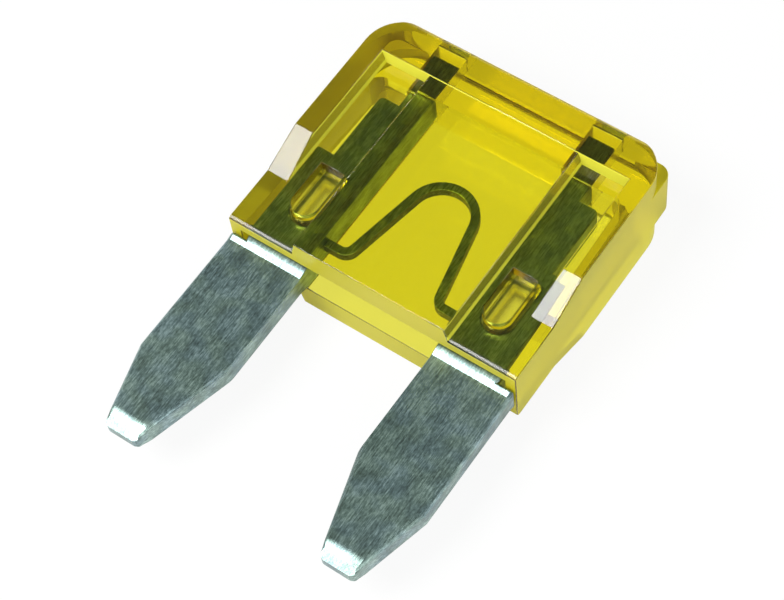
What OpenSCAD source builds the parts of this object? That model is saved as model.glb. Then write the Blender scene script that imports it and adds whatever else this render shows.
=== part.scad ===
// Mini blade fuse: a moulded transparent housing over a one-piece stamped element.
// Modules are drawn with X across the fuse, Y from the blades up to the head and Z through the
// thickness, about the middle of the seating edge. placed() lays the fuse on its back.

/* [Housing] */
// Width of the housing
housing_w = 10.7; // [10.4:0.1:12]
// Height of the housing from the seating edge to the top
housing_h = 8.95; // [8.8:0.05:10]
// Thickness over the head and the side rims
housing_t = 3.6; // [3.5:0.1:4.4]
// Thickness of the columns that hold the terminals
column_t = 2.4; // [2.2:0.1:2.8]
// Length of the bevel at the lower edge of the columns' faces
mouth_bevel_l = 0.13; // [0.05:0.01:0.3]
// Depth of that bevel
mouth_bevel_depth = 0.06; // [0.03:0.01:0.1]
// Height of the head above the pockets
head_h = 1.5; // [1.3:0.1:1.8]
// Corner radius of the head's two faces
head_corner_r = 1.4; // [0.8:0.1:1.5]
// Thickness of the web that runs through the head's ends
web_t = 1.8; // [1.4:0.1:2.4]
// Corner radius of the web
web_corner_r = 0.45; // [0.2:0.05:0.8]
// Radius of the head's long top edges
top_edge_r = 0.25; // [0.1:0.05:0.5]

/* [Faces] */
// Width of each pocket, between its rim and the centre block
pocket_w = 1.85; // [1.6:0.05:2]
// How far the block's face lies below the head's
block_ledge = 0.07; // [0.03:0.01:0.15]
// Width of each side rim at its face
rim_w = 0.7; // [0.5:0.05:0.9]
// Draft of the pocket walls, from the face to the pocket floor
pocket_draft = 0.13; // [0:0.01:0.2]
// Height at which the side rims start to rise from the columns
ramp_start = 2.05; // [1.5:0.05:2.5]
// Length of the sloped stretch of each side rim
ramp_l = 1.65; // [1:0.05:2.5]

/* [Cavity] */
// Thickness of the slot that takes the terminals and the link
slot_t = 1.4; // [1.1:0.05:1.6]
// Side wall between the slot and the outside, at the mouth
side_wall = 0.43; // [0.3:0.01:0.5]
// Draft of each end wall of the slot over its whole height
slot_draft = 0.2; // [0:0.01:0.25]
// Height of the slot
slot_h = 7.1; // [7:0.05:7.4]
// Corner radius of the slot at its closed end
slot_corner_r = 0.5; // [0.2:0.05:0.6]

/* [Stakes] */
// Width of the punch mark of a stake
stake_w = 0.9; // [0.7:0.05:1]
// Height of the stake's round lower end above the seating edge
stake_start = 1.25; // [1.1:0.05:1.5]
// Length of a stake
stake_l = 1.95; // [1.6:0.05:2.1]
// Depth of the punch mark
stake_depth = 0.4; // [0.2:0.02:0.44]
// Plastic that a stake carries round the punch
stake_skin = 0.05; // [0.02:0.01:0.08]
// Gap between the front stake and the rear stake
stake_gap = 0.3; // [0.1:0.05:0.5]

/* [Blades] */
// Width of a blade
blade_w = 2.85; // [2.7:0.05:2.95]
// Thickness of a blade
blade_t = 0.8; // [0.6:0.05:0.85]
// How far a blade's outer edge lies inside the housing's side
blade_inset = 0.035; // [0.02:0.005:0.1]
// Length of a blade below the seating edge
blade_l = 7.5; // [6.5:0.1:8.5]
// Length of the outer edge before it tapers
outer_edge_l = 4.78; // [4:0.02:5.2]
// Length of the inner edge before it tapers
inner_edge_l = 4.16; // [3.5:0.02:5]
// Width of the blade's tip
tip_w = 1.17; // [0.9:0.01:1.6]
// How far the tip's centre lies outside the blade's centre line
tip_shift = 0.12; // [0:0.01:0.3]
// Corner radius of the tip
tip_r = 0.2; // [0.1:0.05:0.3]
// Length of the coined bevel at the tip
tip_bevel_l = 0.45; // [0.2:0.05:0.8]
// Thickness left at the tip
tip_t = 0.34; // [0.2:0.02:0.5]

/* [Terminals] */
// Thickness of the strip inside the housing
strip_t = 1; // [0.9:0.02:1.04]
// Length over which the strip thins down to the blade
root_l = 0.3; // [0.1:0.05:0.5]
// Height of the wide lower part of a terminal
terminal_lower_h = 3.9; // [3.7:0.05:4.5]
// Width of the narrow upper part
terminal_upper_w = 1.68; // [1.3:0.02:1.8]
// Height of the upper part
terminal_upper_h = 6.55; // [6.2:0.05:6.85]
// Corner radius of the upper part
terminal_corner_r = 0.2; // [0.1:0.05:0.3]
// Width of the test tab that reaches up into the head
tab_w = 0.96; // [0.7:0.02:1.1]
// Height of the test tab
tab_h = 8.6; // [8:0.05:8.7]

/* [Fusible link] */
// Width of the link in the plane of the strip
link_w = 0.3; // [0.2:0.02:0.4]
// Thickness of the link
link_t = 0.34; // [0.2:0.02:0.6]
// Height of the link's feet above the seating edge
foot_h = 1.14; // [0.9:0.02:1.3]
// Length of a foot, from the terminal to the bend
foot_l = 0.515; // [0.36:0.005:0.6]
// Centre-line radius of the bend at each foot
foot_bend_r = 0.34; // [0.26:0.02:0.4]
// Height of the arch's centre
arch_h = 3.84; // [3.4:0.02:4.6]
// Centre-line radius of the arch
arch_r = 1.1; // [0.8:0.05:1.2]

/* [Fits] */
// Clearance between a terminal's outer edge and the slot's end wall
slot_clearance = 0.05; // [0.03:0.01:0.1]
// Clearance between a stake and the hole that it fills
stake_clearance = 0.04; // [0.02:0.01:0.08]
// Clearance on each side of a test tab in its opening
tab_clearance = 0.06; // [0.04:0.01:0.15]
// Gap between the seating edge and the blades' shoulders
seat_gap = 0.03; // [0.01:0.01:0.1]

/* [Hidden] */
$fn = 64;

over = 1;                               // how far a cutter passes a face
bury = 0.1;                             // how far a solid reaches into the one that it joins
lap = 0.02;                             // the same, where a straight run meets an arc
corner_steps = 6;                       // straight pieces in a rounded corner of the strip
head_y = housing_h - head_h;
rim_x = housing_w / 2 - rim_w;
block_t = housing_t - 2 * block_ledge;
slot_x = housing_w / 2 - side_wall;
slot_angle = atan(slot_draft / slot_h);
outer_x = housing_w / 2 - blade_inset;
inner_x = outer_x - blade_w;
tip_x = (inner_x + outer_x) / 2 + tip_shift;
lower_x = slot_wall(terminal_lower_h) - slot_clearance;
upper_x = inner_x + terminal_upper_w;
tab_x = inner_x + tab_w;
stake_x = (inner_x + lower_x) / 2;
block_x = rim_x - pocket_w;
foot_x = inner_x - foot_l;              // where a foot's bend ends
bend_y = foot_h + foot_bend_r;          // height of that bend's centre
leg_angle = atan2(foot_x, arch_h - bend_y)
    - asin((arch_r + foot_bend_r) / norm([foot_x, arch_h - bend_y]));

// Distance of the slot's end wall from the middle of the fuse, at the height y.
function slot_wall(y) = slot_x - slot_draft * y / slot_h;

// Outline through corners given as [x, y, radius], with an arc at each corner that has a radius.
function rounded(corners) = [
    for (i = [0 : len(corners) - 1])
        let (
            corner = corners[i],
            at = [corner.x, corner.y],
            before = corners[(i + len(corners) - 1) % len(corners)],
            after = corners[(i + 1) % len(corners)],
            u = unit([before.x, before.y] - at),
            v = unit([after.x, after.y] - at),
            half = acos(u * v) / 2,
            middle = at + unit(u + v) * corner.z / sin(half),
            first = at + u * corner.z / tan(half) - middle,
            turn = (u.x * v.y - u.y * v.x > 0 ? -1 : 1) * (180 - 2 * half)
        )
        each corner.z == 0 ? [at] : [
            for (k = [0 : corner_steps]) middle + turned(first, turn * k / corner_steps)
        ]
];

function unit(v) = v / norm(v);

function turned(v, angle) = [
    v.x * cos(angle) - v.y * sin(angle),
    v.x * sin(angle) + v.y * cos(angle)
];

function polar(angle) = [cos(angle), sin(angle)];

module placed() {
    translate([0, (blade_l - housing_h) / 2, housing_t / 2]) children();
}

module both_sides() {
    children();
    mirror([1, 0, 0]) children();
}

module both_faces() {
    children();
    mirror([0, 0, 1]) children();
}

// Runs a side view, with Y to the right and Z up, across the fuse.
module across(width) {
    rotate([90, 0, 90])
        linear_extrude(height = width, center = true) children();
}

// Runs a section, with X to the right and Z up, from y0 to y1.
module along(y0, y1) {
    translate([0, y1, 0]) rotate([90, 0, 0])
        linear_extrude(height = y1 - y0) children();
}

// Front view of the housing, with its two top corners rounded.
module housing_front(corner_r) {
    half = housing_w / 2;
    translate([-half, 0]) square([housing_w, housing_h - corner_r]);
    translate([corner_r - half, 0]) square([housing_w - 2 * corner_r, housing_h]);
    both_sides()
        translate([half - corner_r, housing_h - corner_r]) circle(r = corner_r);
}

// Side view of the columns, the rims' slopes and the head with its rounded top edges.
module housing_side() {
    edge = housing_t / 2 - top_edge_r;
    for (side = [-1, 1]) {
        polygon([
            [0, 0],
            [0, side * (column_t / 2 - mouth_bevel_depth)],
            [mouth_bevel_l, side * column_t / 2],
            [ramp_start, side * column_t / 2],
            [ramp_start + ramp_l, side * housing_t / 2],
            [housing_h - top_edge_r, side * housing_t / 2],
            [housing_h, side * edge],
            [housing_h, 0]
        ]);
        translate([housing_h - top_edge_r, side * edge]) circle(r = top_edge_r);
    }
}

// Recess between the two rims of one face, down to the columns' surface.
module face_recess() {
    floor_z = column_t / 2;
    depth = housing_t / 2 - floor_z;
    spread = pocket_draft * (1 + over / depth);
    floor_x = rim_x - pocket_draft;
    along(-over, head_y)
        polygon([
            [-floor_x, floor_z],
            [floor_x, floor_z],
            [floor_x + spread, floor_z + depth + over],
            [-floor_x - spread, floor_z + depth + over]
        ]);
}

// Block between the two columns, proud of them on both faces.
module centre_block() {
    foot = block_x + pocket_draft;
    along(0, head_y + bury)
        polygon([
            [-foot, -column_t / 2],
            [-block_x, -block_t / 2],
            [block_x, -block_t / 2],
            [foot, -column_t / 2],
            [foot, column_t / 2],
            [block_x, block_t / 2],
            [-block_x, block_t / 2],
            [-foot, column_t / 2]
        ]);
}

// Slot for both terminals and the link. Its end walls lean in by the draft.
module element_slot() {
    end_y = slot_h - slot_corner_r;
    corner = [slot_wall(end_y) - slot_corner_r / cos(slot_angle), end_y];
    linear_extrude(height = slot_t, center = true)
        both_sides() {
            polygon([
                [-bury, -over],
                [slot_wall(-over), -over],
                corner + slot_corner_r * polar(slot_angle),
                [corner.x, slot_h],
                [-bury, slot_h]
            ]);
            translate(corner) circle(r = slot_corner_r);
        }
}

// Opening in the top of the head, where a probe reaches the test tab.
module test_opening() {
    opening_t = strip_t + 2 * tab_clearance;
    translate([inner_x - tab_clearance, slot_h - bury, -opening_t / 2])
        cube([tab_w + 2 * tab_clearance, housing_h - slot_h + bury + over, opening_t]);
}

// Outline of a stake, round at its lower end and grown by grow on every side.
module stake_outline(grow) {
    r = stake_w / 2 + grow;
    low_y = stake_start - grow + r;
    translate([stake_x, low_y]) circle(r = r);
    translate([stake_x - r, low_y]) square([2 * r, stake_start + stake_l + grow - low_y]);
}

// Plastic that the punch drives from the column's wall into the terminal's hole.
module stake() {
    translate([0, 0, stake_gap / 2])
        linear_extrude(height = (column_t - stake_gap) / 2) stake_outline(stake_skin);
}

module stake_mark() {
    translate([0, 0, column_t / 2 - stake_depth])
        linear_extrude(height = stake_depth + over) stake_outline(0);
}

module housing_shell() {
    difference() {
        intersection() {
            linear_extrude(height = housing_t, center = true) housing_front(head_corner_r);
            across(housing_w + over) housing_side();
        }
        both_faces() face_recess();
    }
    linear_extrude(height = web_t, center = true) housing_front(web_corner_r);
    centre_block();
}

module housing() {
    color([0.9, 0.8, 0.05, 0.6]) placed() difference() {
        union() {
            difference() {
                housing_shell();
                element_slot();
                both_sides() test_opening();
            }
            both_sides() both_faces() stake();
        }
        both_sides() both_faces() stake_mark();
    }
}

// Front view of one blade with its terminal and test tab.
module terminal_front() {
    polygon(rounded([
        [inner_x, -inner_edge_l, 0],
        [tip_x - tip_w / 2, -blade_l, tip_r],
        [tip_x + tip_w / 2, -blade_l, tip_r],
        [outer_x, -outer_edge_l, 0],
        [outer_x, -seat_gap, 0],
        [lower_x, -seat_gap, 0],
        [lower_x, terminal_lower_h, 0],
        [upper_x, terminal_lower_h, 0],
        [upper_x, terminal_upper_h, terminal_corner_r],
        [tab_x, terminal_upper_h, 0],
        [tab_x, tab_h, 0],
        [inner_x, tab_h, 0]
    ]));
}

// Side view of a blade and its terminal: bevelled tip, blade, then the thicker strip.
module terminal_side() {
    for (side = [-1, 1])
        polygon([
            [-blade_l, 0],
            [-blade_l, side * tip_t / 2],
            [tip_bevel_l - blade_l, side * blade_t / 2],
            [-root_l, side * blade_t / 2],
            [0, side * strip_t / 2],
            [tab_h, side * strip_t / 2],
            [tab_h, 0]
        ]);
}

module terminal() {
    difference() {
        intersection() {
            linear_extrude(height = strip_t, center = true) terminal_front();
            across(3 * housing_w) terminal_side();
        }
        linear_extrude(height = strip_t + over, center = true)
            stake_outline(stake_skin + stake_clearance);
    }
}

// Part of a ring about the origin, between two angles less than 180 degrees apart.
module arc_band(r, width, from, to) {
    reach = 2 * (r + width);
    intersection() {
        difference() {
            circle(r = r + width / 2);
            circle(r = r - width / 2);
        }
        polygon([[0, 0], reach * polar(from), reach * polar((from + to) / 2), reach * polar(to)]);
    }
}

// Right-hand leg of the link, with its bend and its foot.
module link_leg() {
    leg_l = norm([0, arch_h] + arch_r * polar(leg_angle)
        - [foot_x, bend_y] + foot_bend_r * polar(leg_angle));
    translate([0, arch_h]) rotate(leg_angle)
        translate([arch_r - link_w / 2, -leg_l - lap]) square([link_w, leg_l + 2 * lap]);
    translate([foot_x, bend_y]) arc_band(foot_bend_r, link_w, 180 + leg_angle, 270);
    translate([foot_x - lap, foot_h - link_w / 2])
        square([inner_x - foot_x + lap + bury, link_w]);
}

// The link springs from one terminal's inner edge, arches up and comes down to the other.
module fusible_link() {
    linear_extrude(height = link_t, center = true) {
        translate([0, arch_h]) arc_band(arch_r, link_w, leg_angle, 180 - leg_angle);
        both_sides() link_leg();
    }
}

module fuse_element() {
    color([0.62, 0.66, 0.66]) placed() {
        both_sides() terminal();
        fusible_link();
    }
}

housing();
fuse_element();
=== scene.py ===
"""A mini blade fuse lying on its back on a white table: clear yellow housing, stamped zinc element."""

import math

import bmesh
import bpy
from mathutils import Matrix, Vector


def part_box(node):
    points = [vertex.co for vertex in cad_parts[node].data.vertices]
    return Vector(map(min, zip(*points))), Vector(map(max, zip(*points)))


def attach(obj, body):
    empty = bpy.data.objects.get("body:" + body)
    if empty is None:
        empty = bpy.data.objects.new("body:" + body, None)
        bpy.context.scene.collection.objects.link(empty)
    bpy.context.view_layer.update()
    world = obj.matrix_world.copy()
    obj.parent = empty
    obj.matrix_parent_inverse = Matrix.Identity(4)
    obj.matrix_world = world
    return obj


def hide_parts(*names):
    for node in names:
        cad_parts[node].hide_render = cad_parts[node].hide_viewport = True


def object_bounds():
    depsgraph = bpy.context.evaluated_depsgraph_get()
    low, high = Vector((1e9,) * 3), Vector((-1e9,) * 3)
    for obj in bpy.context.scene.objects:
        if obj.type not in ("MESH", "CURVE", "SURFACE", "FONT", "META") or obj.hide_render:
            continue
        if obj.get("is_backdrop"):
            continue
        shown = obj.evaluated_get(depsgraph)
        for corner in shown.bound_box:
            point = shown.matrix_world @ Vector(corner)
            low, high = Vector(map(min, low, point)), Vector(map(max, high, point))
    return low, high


MM = 0.001
HAIR = 0.01 * MM                        # room for rounding, where a face is held against a plane
MIDDLE_Z = 1.8 * MM                     # height of the plane midway between the two faces
POCKET_FLOOR = 1.2 * MM                 # pocket floors and column faces, from that plane
SHARP_EDGE = math.radians(17)           # an edge that turns less is part of a curve
HOUSING_EASE = 0.04 * MM
BLADE_EASE = 0.2 * MM
LINK_REACH = 2.45 * MM                  # the link lies within this distance of the middle
WALL_SKIN = (1.0, 0.99, 0.08)           # colour of the milky skin on the pocket walls
FLANK_SKIN = (0.85, 0.76, 0.02)         # and on the flanks, the web and under the block

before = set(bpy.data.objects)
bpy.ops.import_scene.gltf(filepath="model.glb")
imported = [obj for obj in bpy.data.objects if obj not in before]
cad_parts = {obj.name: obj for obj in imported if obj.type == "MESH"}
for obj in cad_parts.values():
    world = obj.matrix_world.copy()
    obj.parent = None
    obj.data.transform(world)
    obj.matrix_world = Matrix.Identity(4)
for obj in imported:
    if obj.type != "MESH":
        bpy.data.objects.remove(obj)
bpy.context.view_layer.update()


# ---------------------------------------------------------------- nodes in a material

def new_material(name):
    """An empty material with its output, and the means to add to it."""
    material = bpy.data.materials.new(name)
    material.use_nodes = True
    material.node_tree.nodes.clear()
    output = material.node_tree.nodes.new("ShaderNodeOutputMaterial")
    return material, material.node_tree, output


def add(tree, kind, inputs=None, **settings):
    """A node with its settings and inputs. An input that is a socket is linked."""
    node = tree.nodes.new(kind)
    for key, value in settings.items():
        setattr(node, key, value)
    for key, value in (inputs or {}).items():
        socket = node.inputs[key]
        if isinstance(value, bpy.types.NodeSocket):
            tree.links.new(value, socket)
        else:
            socket.default_value = value
    return node


def place_on(tree, scale, turn=(0, 0, 0)):
    """Object coordinates, stretched by scale and turned."""
    where = add(tree, "ShaderNodeTexCoord").outputs["Object"]
    return add(tree, "ShaderNodeMapping", {"Vector": where, "Scale": scale, "Rotation": turn}).outputs[0]


def noise(tree, where, scale, detail=2.0, roughness=0.5):
    inputs = {"Vector": where, "Scale": scale, "Detail": detail, "Roughness": roughness}
    return add(tree, "ShaderNodeTexNoise", inputs).outputs["Fac"]


def ramp(tree, value, stops):
    """A colour ramp from stops of (position, grey or colour)."""
    node = add(tree, "ShaderNodeValToRGB", {"Fac": value})
    elements = node.color_ramp.elements
    while len(elements) < len(stops):
        elements.new(0.5)
    for element, (position, colour) in zip(elements, stops):
        element.position = position
        element.color = (colour, colour, colour, 1) if isinstance(colour, (int, float)) else (*colour, 1)
    return node.outputs["Color"]


def spread(tree, value, low, high):
    """A value from 0 to 1, spread from low to high."""
    return add(tree, "ShaderNodeMapRange", {"Value": value, "To Min": low, "To Max": high}).outputs[0]


# ---------------------------------------------------------------- finishes

def clear_yellow_plastic(
    name, low, high, sheen=0.35, clear=1.0, skin=(1.0, 1.0, 0.70), wall=None
):
    """Transparent polycarbonate, moulded: a faint ripple, and a roughness from low to high.

    Where clear is below 1, the rest of the surface is a milky skin that scatters the light.
    Where wall is given, the lowest and highest part of a pocket wall have the skin and its middle
    is as clear as wall.
    """
    material, tree, output = new_material(name)
    if wall:
        where = place_on(tree, (1, 1, 1))
        height = add(tree, "ShaderNodeSeparateXYZ", {"Vector": where}).outputs["Z"]
        depth = add(tree, "ShaderNodeMath", {0: height, 1: MIDDLE_Z}, operation="SUBTRACT")
        depth = add(tree, "ShaderNodeMath", {0: depth.outputs[0]}, operation="ABSOLUTE")
        floor_to_face = {"Value": depth.outputs[0], "From Min": POCKET_FLOOR, "From Max": MIDDLE_Z}
        up = add(tree, "ShaderNodeMapRange", floor_to_face).outputs[0]
        clear = ramp(tree, up, [(0.22, clear), (0.32, wall), (0.80, wall), (0.88, clear)])
    ripple = noise(tree, place_on(tree, (1, 1, 1)), 900.0, 3.0)
    cloud = noise(tree, place_on(tree, (1, 1, 1)), 400.0, 4.0)
    bump = add(tree, "ShaderNodeBump", {"Strength": 0.10, "Distance": 0.008 * MM, "Height": ripple})
    plastic = add(tree, "ShaderNodeBsdfPrincipled", {
        "Base Color": (*skin, 1),
        "Roughness": spread(tree, cloud, low, high),
        "IOR": 1.58,
        "Specular IOR Level": sheen,
        "Transmission Weight": clear,
        "Normal": bump.outputs[0],
    })
    tint = add(tree, "ShaderNodeVolumeAbsorption", {
        "Color": (0.957, 0.925, 0.01, 1),
        "Density": 1700.0,
    })
    tree.links.new(plastic.outputs[0], output.inputs["Surface"])
    tree.links.new(tint.outputs[0], output.inputs["Volume"])
    return material


def stamped_zinc(name, shades):
    """Rolled zinc: fine lengthwise lines, small specks, and patches of bluer and greener metal."""
    material, tree, output = new_material(name)
    lines = noise(tree, place_on(tree, (1, 0.06, 1)), 26000.0, 2.0, 0.6)
    specks = noise(tree, place_on(tree, (1, 0.4, 1)), 15000.0, 3.0, 0.6)
    clouds = noise(tree, place_on(tree, (1, 0.6, 1)), 2000.0, 3.0)
    patches = noise(tree, place_on(tree, (0.8, 1, 1)), 1500.0, 1.0)
    mixed = add(tree, "ShaderNodeMix", {"Factor": 0.4, "A": lines, "B": specks}).outputs[0]
    mixed = add(tree, "ShaderNodeMix", {"Factor": 0.3, "A": mixed, "B": clouds}).outputs[0]
    shade = ramp(tree, mixed, list(zip((0.38, 0.5, 0.62), shades)))
    cast = ramp(tree, patches, [(0.36, (0.90, 0.94, 1.0)), (0.60, (0.97, 1.0, 0.94))])
    shade = add(tree, "ShaderNodeVectorMath", {0: shade, 1: cast}, operation="MULTIPLY").outputs[0]
    bump = add(tree, "ShaderNodeBump", {"Strength": 0.3, "Distance": 0.01 * MM, "Height": mixed})
    metal = add(tree, "ShaderNodeBsdfPrincipled", {
        "Base Color": shade,
        "Metallic": 1.0,
        "Roughness": spread(tree, specks, 0.24, 0.44),
        "Anisotropic": 0.3,
        "Normal": bump.outputs[0],
    })
    tree.links.new(metal.outputs[0], output.inputs["Surface"])
    return material


def white_table():
    """White paper that shows as white to the eye, in reflections and through the plastic."""
    material, tree, output = new_material("white_table")
    rays = add(tree, "ShaderNodeLightPath").outputs
    seen_by = (("Is Camera Ray", 0.9), ("Is Transmission Ray", 0.86), ("Is Glossy Ray", 0.5))
    share = 0.0
    for ray, whiteness in seen_by:
        part = add(tree, "ShaderNodeMath", {0: rays[ray], 1: whiteness}, operation="MULTIPLY")
        larger = {0: share, 1: part.outputs[0]}
        share = add(tree, "ShaderNodeMath", larger, operation="MAXIMUM").outputs[0]
    paper = add(tree, "ShaderNodeBsdfDiffuse", {"Color": (0.85, 0.85, 0.85, 1)})
    white = add(tree, "ShaderNodeEmission", {"Color": (1, 1, 1, 1), "Strength": 1.0})
    both = add(tree, "ShaderNodeMixShader", {0: share, 1: paper.outputs[0], 2: white.outputs[0]})
    tree.links.new(both.outputs[0], output.inputs["Surface"])
    return material


# ---------------------------------------------------------------- pieces

def shade_eased(mesh):
    """Plain faces look flat and curves smooth, and an eased edge turns from one face to the next.

    The bevel leaves a strength on every face, which is above 0 only on the faces of the part.
    """
    strength = mesh.attributes["__mod_weightednormals_faceweight"].data
    eased = [strength[face.index].value <= 0 for face in mesh.polygons]
    meeting = {}
    for face in mesh.polygons:
        for corner in face.vertices:
            meeting.setdefault(corner, []).append(face)
    normals = []
    for face in mesh.polygons:
        for corner in face.vertices:
            plain = [other for other in meeting[corner] if not eased[other.index]]
            total = Vector()
            if plain:
                nearest = max(plain, key=lambda other: other.normal.dot(face.normal))
                base = nearest if eased[face.index] else face
                for other in plain:
                    if other.normal.dot(base.normal) > math.cos(SHARP_EDGE):
                        total += other.normal * other.area
            else:
                for other in meeting[corner]:
                    total += other.normal
            normals.append(total.normalized())
    mesh.normals_split_custom_set(normals)


def eased_copy(node, name, material, radius, segments, ease_of=lambda middle: 1.0):
    """A copy of a CAD node with its outward edges eased, standing for that node.

    The radius of an edge is the given one times ease_of(the middle of the edge).
    """
    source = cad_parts[node]
    mesh = source.data.copy()
    mesh.name = name
    mesh.materials.clear()
    mesh.materials.append(material)
    shape = bmesh.new()
    shape.from_mesh(mesh)
    bmesh.ops.remove_doubles(shape, verts=shape.verts, dist=0.0005 * MM)
    bmesh.ops.dissolve_limit(
        shape, angle_limit=math.radians(1), verts=shape.verts, edges=shape.edges
    )
    for face in shape.faces:
        face.smooth = True
    ease_share = shape.edges.layers.float.new("bevel_weight_edge")
    for edge in shape.edges:
        if edge.calc_face_angle(0) > SHARP_EDGE:
            middle = (edge.verts[0].co + edge.verts[1].co) / 2
            share = ease_of(middle) if edge.is_convex else 0.0
            edge[ease_share] = share
            edge.smooth = share > 0
    shape.to_mesh(mesh)
    shape.free()
    piece = bpy.data.objects.new(name, mesh)
    bpy.context.scene.collection.objects.link(piece)
    ease = piece.modifiers.new("eased_edges", "BEVEL")
    ease.width = radius
    ease.segments = segments
    ease.limit_method = "WEIGHT"
    ease.use_clamp_overlap = False
    ease.face_strength_mode = "FSTR_ALL"
    view = bpy.context.evaluated_depsgraph_get()
    piece.data = bpy.data.meshes.new_from_object(piece.evaluated_get(view))
    piece.data.name = name
    piece.modifiers.remove(ease)
    shade_eased(piece.data)
    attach(piece, "root")
    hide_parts(node)
    return piece


def finish_housing(housing, satin, matt_walls, frosted, matt_feet):
    """Satin stakes and test openings, matt pocket walls and feet of walls, and frosted flanks."""
    low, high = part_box("housing")
    corner = 1.45 * MM                  # the head's rounded corners, along both edges
    head = 1.4 * MM                     # the head, from just above the pockets' end walls
    top_edge = 0.3 * MM                 # the head's rounded top edges
    web_face = 0.9 * MM                 # from the middle plane
    stake_inner, stake_outer, stake_top = 3.0 * MM, 4.2 * MM, 3.4 * MM
    opening_inner, opening_outer = 2.3 * MM, 3.6 * MM
    opening_depth, opening_l = 0.6 * MM, 1.9 * MM
    block_reach = 2.4 * MM
    for finish in (satin, matt_walls, frosted, matt_feet):
        housing.data.materials.append(finish)
    as_satin, as_matt, as_frosted, as_matt_footed = range(1, 5)
    for face in housing.data.polygons:
        x = abs(face.center.x)
        y = face.center.y
        depth = abs(face.center.z - MIDDLE_Z)
        upright = abs(face.normal.z) < 0.5
        on_flank = x > high.x - HAIR
        on_lower_face = y < low.y + HAIR
        on_corner = upright and y > high.y - corner and x > high.x - corner
        on_web = not upright and abs(depth - web_face) < 2 * HAIR
        under_block = on_lower_face and x < block_reach
        beside_stake = stake_inner < x < stake_outer and y < low.y + stake_top
        stake = 0.1 * MM < depth < POCKET_FLOOR - HAIR and beside_stake
        beside_opening = opening_inner < x < opening_outer and y > high.y - opening_l
        opening = depth < opening_depth and beside_opening
        pocket_wall = depth > POCKET_FLOOR + HAIR and upright and y < high.y - head
        if on_flank or on_corner or on_web or under_block:
            face.material_index = as_frosted
        elif on_lower_face or y > high.y - top_edge:
            continue
        elif stake or opening:
            face.material_index = as_satin
        elif pocket_wall:
            side_wall = abs(face.normal.x) > 0.5
            face.material_index = as_matt_footed if side_wall else as_matt


def blade_ease(middle):
    """Share of the blades' ease that an edge of the strip gets, from the middle of the edge."""
    seat_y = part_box("housing")[0].y
    tip_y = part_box("fuse_element")[0].y
    for height, share in ((0.25, 0.0), (0.42, 0.5), (0.5, 1.0)):
        if middle.y < tip_y + height * MM:
            return share
    on_link = abs(middle.x) < 2.6 * MM
    if on_link:
        return 0.12
    below_root = middle.y < seat_y - 0.4 * MM
    if below_root:
        return 0.75
    at_seat = middle.y < seat_y + 0.05 * MM
    return 0.6 if at_seat else 0.3


def finish_sheared_edges_painted_dark(element, painted_dark_zinc):
    """The link's cut edges get a darker zinc: a dull cut finish, darkened further with painted shade.
    Those of the blades and terminals keep the rolled zinc.
    """
    element.data.materials.append(painted_dark_zinc)
    for face in element.data.polygons:
        upright = abs(face.normal.z) < 0.5
        if upright and abs(face.center.x) < LINK_REACH:
            # the link's cut edges take the darker zinc, whose dark shades are partly painted shade
            face.material_index = 1


# ---------------------------------------------------------------- table, light and camera

def table():
    size = 0.6
    mesh = bpy.data.meshes.new("table")
    half = size / 2
    corners = [(-half, -half, 0), (half, -half, 0), (half, half, 0), (-half, half, 0)]
    mesh.from_pydata(corners, [], [(0, 1, 2, 3)])
    mesh.materials.append(white_table())
    sheet = bpy.data.objects.new("table", mesh)
    sheet.location.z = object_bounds()[0][2]
    bpy.context.scene.collection.objects.link(sheet)
    sheet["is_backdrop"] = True


def softbox(name, direction, distance, size, power):
    """A rectangular lamp in the given direction from the fuse, facing it."""
    lamp = bpy.data.lights.new(name, "AREA")
    lamp.shape = "RECTANGLE"
    lamp.size, lamp.size_y = size
    lamp.energy = power
    holder = bpy.data.objects.new(name, lamp)
    towards = Vector(direction).normalized()
    across = Vector((0, 1, 0)).cross(towards).normalized()
    turn = Matrix((across, towards.cross(across), towards)).transposed()
    place = Vector((0, 0, MIDDLE_Z)) + towards * distance
    holder.matrix_world = Matrix.Translation(place) @ turn.to_4x4()
    bpy.context.scene.collection.objects.link(holder)


def room_light(overhead, horizon, zenith):
    """A room with pale walls and a darker ceiling, which is paler straight above."""
    world = bpy.data.worlds.new("studio")
    world.use_nodes = True
    tree = world.node_tree
    background = tree.nodes["Background"]
    where = add(tree, "ShaderNodeTexCoord").outputs["Generated"]
    height = add(tree, "ShaderNodeSeparateXYZ", {"Vector": where}).outputs["Z"]
    walls = ramp(tree, height, [
        (0.0, horizon),
        (0.35, horizon),
        (0.75, overhead),
        (0.88, overhead),
        (0.94, zenith),
    ])
    tree.links.new(walls, background.inputs["Color"])
    background.inputs["Strength"].default_value = 1.0
    bpy.context.scene.world = world


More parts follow.
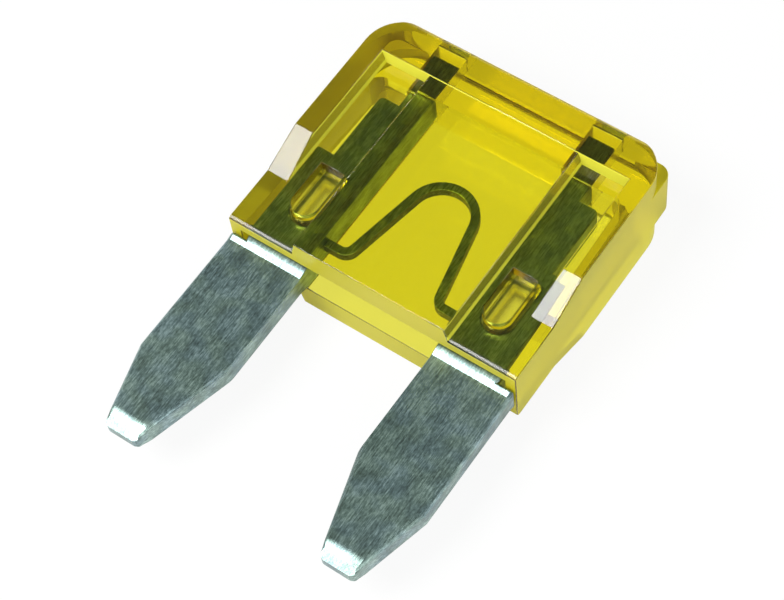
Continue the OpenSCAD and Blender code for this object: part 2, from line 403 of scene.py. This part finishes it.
def camera():
    """Looks down on the fuse from the front right, from above the blades, and tilts to the left."""
    view = bpy.data.cameras.new("camera")
    view.sensor_width = 36.0
    view.lens = 103.51
    view.clip_start = 1 * MM
    holder = bpy.data.objects.new("camera", view)
    place = Vector((23.861, -25.969, 61.988)) * MM
    aim = Vector((0.2186, 0.0652, 1.8)) * MM
    tilt = math.radians(-8.571)
    turn = (place - aim).to_track_quat("Z", "Y").to_matrix() @ Matrix.Rotation(tilt, 3, "Z")
    holder.matrix_world = Matrix.Translation(place) @ turn.to_4x4()
    bpy.context.scene.collection.objects.link(holder)
    bpy.context.scene.camera = holder


camera()
table()
moulded_housing = eased_copy(
    "housing", "moulded_housing",
    clear_yellow_plastic("polished_yellow_polycarbonate", 0.03, 0.06), HOUSING_EASE, 3
)
finish_housing(
    moulded_housing,
    clear_yellow_plastic("satin_yellow_polycarbonate", 0.20, 0.30),
    clear_yellow_plastic(
        "matt_yellow_polycarbonate", 0.40, 0.50, clear=0.30, skin=WALL_SKIN
    ),
    clear_yellow_plastic(
        "frosted_yellow_polycarbonate", 0.35, 0.45, sheen=0.06, clear=0.52, skin=FLANK_SKIN
    ),
    clear_yellow_plastic(
        "matt_footed_polycarbonate", 0.12, 0.20, clear=0.30, skin=WALL_SKIN, wall=0.8
    )
)
# The green-blue cast of these shades is partly the zinc's own tone and partly painted reflection of a
# greenish room.
rolled_shades = [(0.135, 0.178, 0.172), (0.24, 0.325, 0.315), (0.46, 0.58, 0.57)]
# Dark shades for the link's cut edges: a dull cut finish, darkened further with painted shade.
dull_and_painted_shade_shades = [(0.03, 0.035, 0.03), (0.07, 0.08, 0.07), (0.20, 0.22, 0.20)]
stamped_element = eased_copy(
    "fuse_element", "stamped_element",
    stamped_zinc("rolled_zinc", rolled_shades), BLADE_EASE, 4, blade_ease
)
finish_sheared_edges_painted_dark(stamped_element, stamped_zinc("sheared_zinc_with_painted_shade", dull_and_painted_shade_shades))

softbox("key", (-0.36, -0.42, 0.83), 0.12, (0.060, 0.062), 0.135)
softbox("fill", (0.62, -0.62, 0.48), 0.15, (0.2, 0.2), 0.19)
room_light(overhead=(0.13, 0.165, 0.13), horizon=0.75, zenith=(0.34, 0.38, 0.38))

bpy.context.scene.view_settings.view_transform = "Standard"
